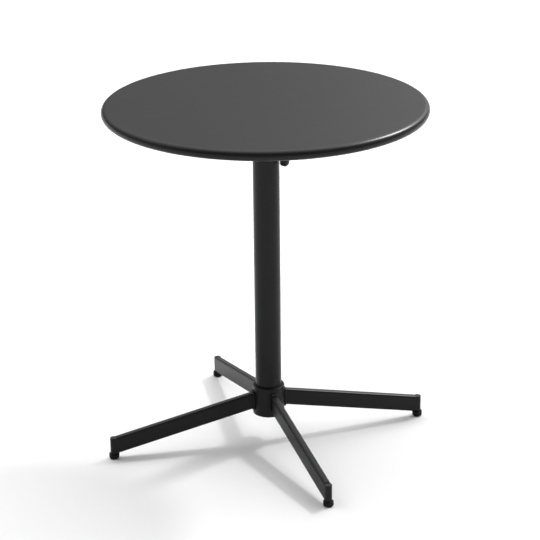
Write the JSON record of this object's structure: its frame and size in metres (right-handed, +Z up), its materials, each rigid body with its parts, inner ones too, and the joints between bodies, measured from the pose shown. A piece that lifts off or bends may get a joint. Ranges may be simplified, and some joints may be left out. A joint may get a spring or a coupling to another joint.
{
  "type": "tilting bistro table",
  "caption": "Round pressed-steel bistro table: tilting top with a sprung latch on a tubular column, four splayed legs and screw-in levelling glides.",
  "frame": {"origin": "on the floor, under the column's axis", "axes": "+Z up along the column, +X from the top's pivot towards its latch, +Y to the left seen from the latch"},
  "size_m": [0.6499, 0.6498, 0.73],
  "materials": {
    "anthracite_coat": "satin fine-textured powder coat",
    "zinc_steel": "bright zinc plate",
    "black_plastic": "moulded, fine grain",
    "natural_nylon": "moulded, smooth"
  },
  "bodies": {
    "base": {"column_tube": "anthracite_coat", "column_nut_disc": "zinc_steel", "column_bolt": "zinc_steel", "column_bolt_washer": "zinc_steel", "hub_shell": "anthracite_coat", "hub_base_disc": "anthracite_coat", "hub_collar": "black_plastic", "leg_1": "anthracite_coat", "leg_2": "anthracite_coat", "leg_3": "anthracite_coat", "leg_4": "anthracite_coat", "leg_nose_1": "anthracite_coat", "leg_nose_2": "anthracite_coat", "leg_nose_3": "anthracite_coat", "leg_nose_4": "anthracite_coat", "head_bracket": "anthracite_coat", "pivot_bush_left": "natural_nylon", "pivot_bush_right": "natural_nylon", "rest_strip_left": "black_plastic", "rest_strip_right": "black_plastic", "latch_pin": "zinc_steel", "latch_pin_clip": "zinc_steel", "latch_spacers": "natural_nylon", "latch_spring": "zinc_steel"},
    "top": {"table_top": "anthracite_coat", "cross_rail_fold_side": "anthracite_coat", "cross_rail_latch_side": "anthracite_coat", "rail_end_plugs": "black_plastic", "rail_rivet_nuts": "zinc_steel", "top_bracket": "anthracite_coat", "bracket_screws": "zinc_steel", "strike_bar": "zinc_steel", "fold_stop_bar": "anthracite_coat", "pivot_bolt": "zinc_steel", "pivot_nut": "zinc_steel", "pivot_washers": "zinc_steel"},
    "latch": {"latch_lever": "anthracite_coat", "latch_grip": "black_plastic"},
    "foot_1": {"foot_stud_1": "zinc_steel", "foot_glide_1": "black_plastic"},
    "foot_2": {"foot_stud_2": "zinc_steel", "foot_glide_2": "black_plastic"},
    "foot_3": {"foot_stud_3": "zinc_steel", "foot_glide_3": "black_plastic"},
    "foot_4": {"foot_stud_4": "zinc_steel", "foot_glide_4": "black_plastic"}
  },
  "joints": [
    {"name": "top_tilt", "type": "hinge", "parent": "base", "child": "top", "pos_m": [-0.054, 0, 0.686], "axis": [0, -1, 0], "range_deg": [0, 90]},
    {"name": "latch_release", "type": "hinge", "parent": "base", "child": "latch", "pos_m": [0.05, 0, 0.678], "axis": [0, -1, 0], "range_deg": [0, 25], "stiffness_Nm_per_rad": 0.4, "springref_deg": -28.65, "deforming": ["latch_spring"]},
    {"name": "foot_1_screw", "type": "slide", "parent": "base", "child": "foot_1", "axis": [0, 0, -1], "range_m": [0, 0.008]},
    {"name": "foot_2_screw", "type": "slide", "parent": "base", "child": "foot_2", "axis": [0, 0, -1], "range_m": [0, 0.008]},
    {"name": "foot_3_screw", "type": "slide", "parent": "base", "child": "foot_3", "axis": [0, 0, -1], "range_m": [0, 0.008]},
    {"name": "foot_4_screw", "type": "slide", "parent": "base", "child": "foot_4", "axis": [0, 0, -1], "range_m": [0, 0.008]}
  ]
}
